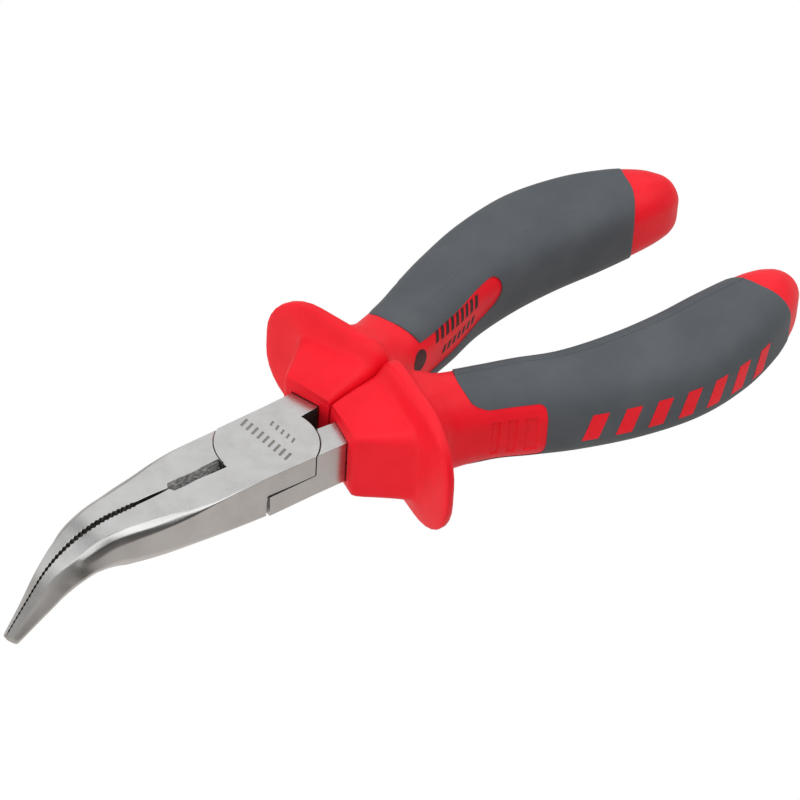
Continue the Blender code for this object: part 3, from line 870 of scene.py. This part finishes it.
def make_grip(side, label, material):
    """Soft overmoulded grip: a shell let into the sleeve, with its two windows cut out."""
    columns = []
    for spot in ring_layout():
        front = HANDLE_BASE + edge_place(GRIP_FRONT, spot)
        rear = HANDLE_BASE + edge_place(GRIP_REAR, spot)
        proud = GRIP_PROUD + (LEDGE if inner_half(spot) else 0.0)
        stops = [(front, EDGE_SUNK), (front + EDGE_STEP * EDGE_MIDDLE[0], proud * EDGE_MIDDLE[1])]
        stops += [(front + EDGE_STEP + (rear - front - 2 * EDGE_STEP) * k / GRIP_STEPS, proud)
                  for k in range(GRIP_STEPS + 1)]
        stops += [(rear - EDGE_STEP * EDGE_MIDDLE[0], proud * EDGE_MIDDLE[1]), (rear, EDGE_SUNK)]
        stops += [(place, -GRIP_DEPTH) for place, _grow in reversed(stops)]
        columns.append([ring_point(ring_at(place), spot, side, grow) for place, grow in stops])
    grip = mesh_object("soft_grip_skin_" + label, loft(list(zip(*columns)), closed=True), material)
    end = TONGUE_END - TONGUE_CORNER
    level = TONGUE_HALF_HEIGHT - TONGUE_CORNER
    turns = [math.radians(90.0 * k / TONGUE_CORNER_STEPS) for k in range(TONGUE_CORNER_STEPS + 1)]
    upper = TONGUE_FRONT + [(end + TONGUE_CORNER * math.sin(a), level + TONGUE_CORNER * math.cos(a))
                            for a in turns]
    outline = upper + [(x, -z) for x, z in reversed(upper)]
    window = [(WINDOW_FRONT, WINDOW_UPPER[0][1])] + WINDOW_UPPER + WINDOW_LOWER
    window += [(WINDOW_FRONT, WINDOW_LOWER[-1][1])]
    helpers = [side_prism("tongue_" + label, outline, side, 1.0),
               side_prism("window_" + label, window, side, -1.0)]
    for helper in helpers:
        add_boolean(grip, helper)
    return settle(grip, helpers, SKIN_CREASE)


def middle_line(x):
    """y of the handle's middle at x, on straight lines between the stations' middles."""
    spots = [((xi + xo) / 2.0, (yi + yo) / 2.0)
             for (xi, yi), (xo, yo), _height, _level in HANDLE_STATIONS]
    for (x0, y0), (x1, y1) in zip(spots, spots[1:]):
        if x <= x1:
            return y0 + (y1 - y0) * (x - x0) / (x1 - x0)
    return spots[-1][1]


def side_prism(name, outline, side, out):
    """Cutter over an outline seen from the side, from the middle line out through one flank."""
    near = [(x, middle_line(x) * side, z) for x, z in outline]
    far = [(x, (middle_line(x) + out * FLANK_REACH) * side, z) for x, z in outline]
    return mesh_object(name, loft([near, far]))


def flank_patch(bm, tree, side, corners, low, high, slope=0.0, out=1.0, rounded=False):
    """Add a closed slab that follows the outer flank, or the inner one where out is negative.
    corners are (x, z) in turn, low and high are its depths along the flank's normal, slope draws
    the low face in, and rounded keeps to the ellipse inside the corners."""
    middle = [sum(c[k] for c in corners) / len(corners) for k in (0, 1)]
    grids = []
    for depth, draw in ((low, slope), (high, 0.0)):
        drawn = [tuple(v - math.copysign(draw, v - m) for v, m in zip(c, middle)) for c in corners]
        grid = []
        for i in range(PATCH_ACROSS + 1):
            for k in range(PATCH_ALONG + 1):
                a, b = 2.0 * i / PATCH_ACROSS - 1.0, 2.0 * k / PATCH_ALONG - 1.0
                if rounded:
                    a, b = a * math.sqrt(1.0 - b * b / 2.0), b * math.sqrt(1.0 - a * a / 2.0)
                u, v = (a + 1.0) / 2.0, (b + 1.0) / 2.0
                weights = ((1 - u) * (1 - v), u * (1 - v), u * v, (1 - u) * v)
                x, z = (sum(w * c[axis] for w, c in zip(weights, drawn)) for axis in (0, 1))
                far_y = FAR_SIDE if out > 0.0 else 0.0
                start = Vector((x * MM, side * far_y * MM, z * MM + MIDDLE))
                spot, normal, _index, _far = tree.ray_cast(start, Vector((0.0, -side * out, 0.0)))
                spot = (spot - Vector((0.0, 0.0, MIDDLE))) / MM
                grid.append(bm.verts.new(spot + normal * depth))
        grids.append(grid)

    def index(i, k):
        return i * (PATCH_ALONG + 1) + k

    for grid in grids:
        for i in range(PATCH_ACROSS):
            for k in range(PATCH_ALONG):
                bm.faces.new([grid[index(i, k)], grid[index(i + 1, k)],
                              grid[index(i + 1, k + 1)], grid[index(i, k + 1)]])
    rim = [index(i, 0) for i in range(PATCH_ACROSS + 1)]
    rim += [index(PATCH_ACROSS, k) for k in range(1, PATCH_ALONG + 1)]
    rim += [index(i, PATCH_ALONG) for i in range(PATCH_ACROSS - 1, -1, -1)]
    rim += [index(0, k) for k in range(PATCH_ALONG - 1, 0, -1)]
    for a, b in zip(rim, rim[1:] + rim[:1]):
        bm.faces.new([grids[0][a], grids[0][b], grids[1][b], grids[1][a]])


def tree_of(thing):
    """Search tree over an object's mesh, for dropping points onto it."""
    mesh = thing.data
    return BVHTree.FromPolygons([v.co for v in mesh.vertices], [tuple(p.vertices) for p in mesh.polygons])


def leaning(x, z, width, height, lean):
    """Corners of a small leaning block, as (x, z) in turn."""
    return [(x - (width + lean) / 2.0, z - height / 2.0), (x + (width - lean) / 2.0, z - height / 2.0),
            (x + (width + lean) / 2.0, z + height / 2.0), (x - (width - lean) / 2.0, z + height / 2.0)]


def make_bars(side, label, grip, material):
    """Row of slanted bars of the sleeve's plastic, moulded into the grip's outer flank."""
    bm = bmesh.new()
    tree = tree_of(grip)
    for i in range(BAR_COUNT):
        x = BAR_FIRST + (BAR_LAST - BAR_FIRST) * i / (BAR_COUNT - 1)
        corners = leaning(x, BAR_LEVEL, BAR_WIDTH, BAR_HEIGHT, BAR_SLANT)
        flank_patch(bm, tree, side, corners, *BAR_DEPTHS)
    return settle(mesh_object("grip_bars_" + label, bm, material), [], SKIN_CREASE)


def make_marks(side, label, sleeve, material):
    """Two rows of plain dashes and a round spot, printed in the window on the inner flank."""
    bm = bmesh.new()
    tree = tree_of(sleeve)
    for (x0, z0), (x1, z1), count, height, width in MARK_ROWS:
        for i in range(count):
            share = i / (count - 1)
            corners = leaning(x0 + (x1 - x0) * share, z0 + (z1 - z0) * share, width, height, MARK_SLANT)
            flank_patch(bm, tree, side, corners, *MARK_DEPTHS, out=-1.0)
    flank_patch(bm, tree, side, leaning(*MARK_SPOT, 0.0), *MARK_DEPTHS, out=-1.0, rounded=True)
    return settle(mesh_object("window_marks_" + label, bm, material), [], SKIN_CREASE)


def make_sleeve(side, label, grip, material):
    """Hard sleeve: the full skin less the grip, the bore for shank and tang, and the panels."""
    sleeve = full_skin("guard_sleeve_skin_" + label, side, material)
    top = TOP + SHANK_CLEARANCE
    inner = SHANK_INNER - SHANK_CLEARANCE
    outer = half_width(BORE_START) + SHANK_CLEARANCE
    outline = ([(BORE_START, -inner), (SHANK_STEP, -(inner + SHANK_STEP_OUT))]
               + tang_outline(TANG_CLEARANCE) + [(BORE_START, -outer)])
    bore = mesh_object("bore_" + label, plate([(x, -q * side) for x, q in outline], -top, top))
    add_boolean(sleeve, grip, careful=True)
    add_boolean(sleeve, bore)
    settle(sleeve, [bore], SKIN_CREASE)
    bm = bmesh.new()
    tree = tree_of(sleeve)
    for x, width in TONGUE_PANELS:
        corners = leaning(x + width / 2.0, 0.0, width, PANEL_HEIGHT, 0.0)
        flank_patch(bm, tree, side, corners, *PANEL_DEPTHS, slope=PANEL_SLOPE)
    panels = mesh_object("panels_" + label, bm)
    add_boolean(sleeve, panels)
    return settle(sleeve, [panels], SKIN_CREASE)


# -------- stage

def make_floor():
    """Pale, evenly glowing floor under the object, as on a light table."""
    bm = bmesh.new()
    bmesh.ops.create_grid(bm, x_segments=1, y_segments=1, size=FLOOR_SIZE)
    mesh = bpy.data.meshes.new("floor")
    bm.to_mesh(mesh)
    bm.free()
    floor = bpy.data.objects.new("floor", mesh)
    floor.location.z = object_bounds()[0].z
    bpy.context.collection.objects.link(floor)
    material = bpy.data.materials.new("floor")
    material.use_nodes = True
    shader = material.node_tree.nodes["Principled BSDF"]
    shader.inputs["Base Color"].default_value = (0.0, 0.0, 0.0, 1.0)
    shader.inputs["Roughness"].default_value = 1.0
    shader.inputs["Specular IOR Level"].default_value = 0.0
    shader.inputs["Emission Color"].default_value = (1.0, 1.0, 1.0, 1.0)
    shader.inputs["Emission Strength"].default_value = FLOOR_GLOW
    mesh.materials.append(material)
    floor.visible_diffuse = False
    floor.visible_glossy = False
    floor.visible_shadow = False


def direction(azimuth, elevation):
    """Unit vector towards a place round the object, azimuth 0 being in front, at -Y."""
    a, e = math.radians(azimuth), math.radians(elevation)
    return Vector((math.sin(a) * math.cos(e), -math.cos(a) * math.cos(e), math.sin(e)))


def make_softbox(name, azimuth, elevation, distance, size, brightness, in_gloss):
    """Square soft light of a given brightness, aimed at the object, seen in gloss or not."""
    light = bpy.data.lights.new(name, "AREA")
    light.shape = "SQUARE"
    light.size = size
    light.energy = brightness * math.pi * size * size
    lamp = bpy.data.objects.new(name, light)
    away = direction(azimuth, elevation)
    lamp.location = TARGET + away * distance
    lamp.visible_glossy = in_gloss
    lamp.rotation_mode = "QUATERNION"
    lamp.rotation_quaternion = away.to_track_quat("Z", "Y")
    bpy.context.collection.objects.link(lamp)


def make_world():
    """Studio surroundings, paler below, with one dark flag that gives the steel its contrast."""
    world = bpy.data.worlds.new("studio")
    world.use_nodes = True
    tree = world.node_tree
    where = tree.nodes.new("ShaderNodeTexCoord").outputs["Generated"]
    parts = tree.nodes.new("ShaderNodeSeparateXYZ")
    tree.links.new(where, parts.inputs["Vector"])
    bands = ramp(tree, spread(tree, parts.outputs["Z"], 0.0, 1.0, -1.0, 1.0), WORLD_BANDS)
    facing = tree.nodes.new("ShaderNodeVectorMath")
    facing.operation = "DOT_PRODUCT"
    facing.inputs[1].default_value = direction(*FLAG_DIRECTION)
    tree.links.new(where, facing.inputs[0])
    edges = [math.cos(math.radians(angle)) for angle in FLAG_EDGES]
    light = spread(tree, facing.outputs["Value"], 1.0, FLAG_LEVEL, *edges)
    tree.links.new(bands, tree.nodes["Background"].inputs["Color"])
    tree.links.new(light, tree.nodes["Background"].inputs["Strength"])
    bpy.context.scene.world = world


def make_camera():
    """Camera above the near handle's outer side, in front of the joint, looking down on it."""
    back = direction(CAMERA_AZIMUTH, CAMERA_ELEVATION)
    azimuth = math.radians(CAMERA_AZIMUTH)
    right = Vector((math.cos(azimuth), math.sin(azimuth), 0.0))
    up = back.cross(right)
    roll = math.radians(CAMERA_ROLL)
    across = right * math.cos(roll) + up * math.sin(roll)
    upright = up * math.cos(roll) - right * math.sin(roll)
    camera = bpy.data.cameras.new("camera")
    camera.lens = CAMERA_LENS
    camera.sensor_width = CAMERA_SENSOR
    camera.clip_start, camera.clip_end = CAMERA_CLIP
    rig = bpy.data.objects.new("camera", camera)
    turned = Matrix((across, upright, back)).transposed().to_4x4()
    turned.translation = TARGET + back * CAMERA_DISTANCE
    rig.matrix_world = turned
    bpy.context.collection.objects.link(rig)
    bpy.context.scene.camera = rig


def main():
    """Build every piece round the frame, then the stage."""
    etched = make_plastic("etched_grey", ETCHED_SHADES, roughness=0.60, cells=2600.0, depth=0.00001,
                          specular=0.30)
    # the third entry is painted shade for faces that stay in deep shadow, not a finish
    finishes_and_shade = [make_steel(), make_cut_steel(), make_painted_gap_shade(), etched]
    red = make_plastic("red_plastic", RED_SHADES, roughness=0.46, cells=2600.0, depth=0.00003,
                       specular=0.22)
    grey = make_plastic("grey_rubber", GREY_SHADES, roughness=0.60, cells=3400.0, depth=0.00005,
                        specular=0.30)
    ink = make_plastic("dark_ink", INK_SHADES, roughness=0.55, cells=2600.0, depth=0.00002,
                       specular=0.22)
    bodies = {"left": "upper", "right": "lower"}
    for node, jaw_side, body in (("upper_half", -1.0, "upper"), ("lower_half", 1.0, "lower")):
        show(make_half(node, jaw_side, finishes_and_shade), body, "satin_steel", node)
    show(make_rivet(finishes_and_shade), "upper", "satin_steel", "pivot_rivet")
    for label, side in (("left", 1.0), ("right", -1.0)):
        grip = make_grip(side, label, grey)
        sleeve = make_sleeve(side, label, grip, red)
        bars = make_bars(side, label, grip, red)
        marks = make_marks(side, label, sleeve, ink)
        show(grip, bodies[label], "soft_grip", "soft_grip_" + label)
        show(sleeve, bodies[label], "hard_sleeve", "guard_sleeve_" + label)
        show(bars, bodies[label], "hard_sleeve")
        show(marks, bodies[label], "hard_sleeve")
    make_floor()
    make_world()
    for light in LIGHTS:
        make_softbox(*light)
    make_camera()
    bpy.context.scene.view_settings.view_transform = "Standard"


main()
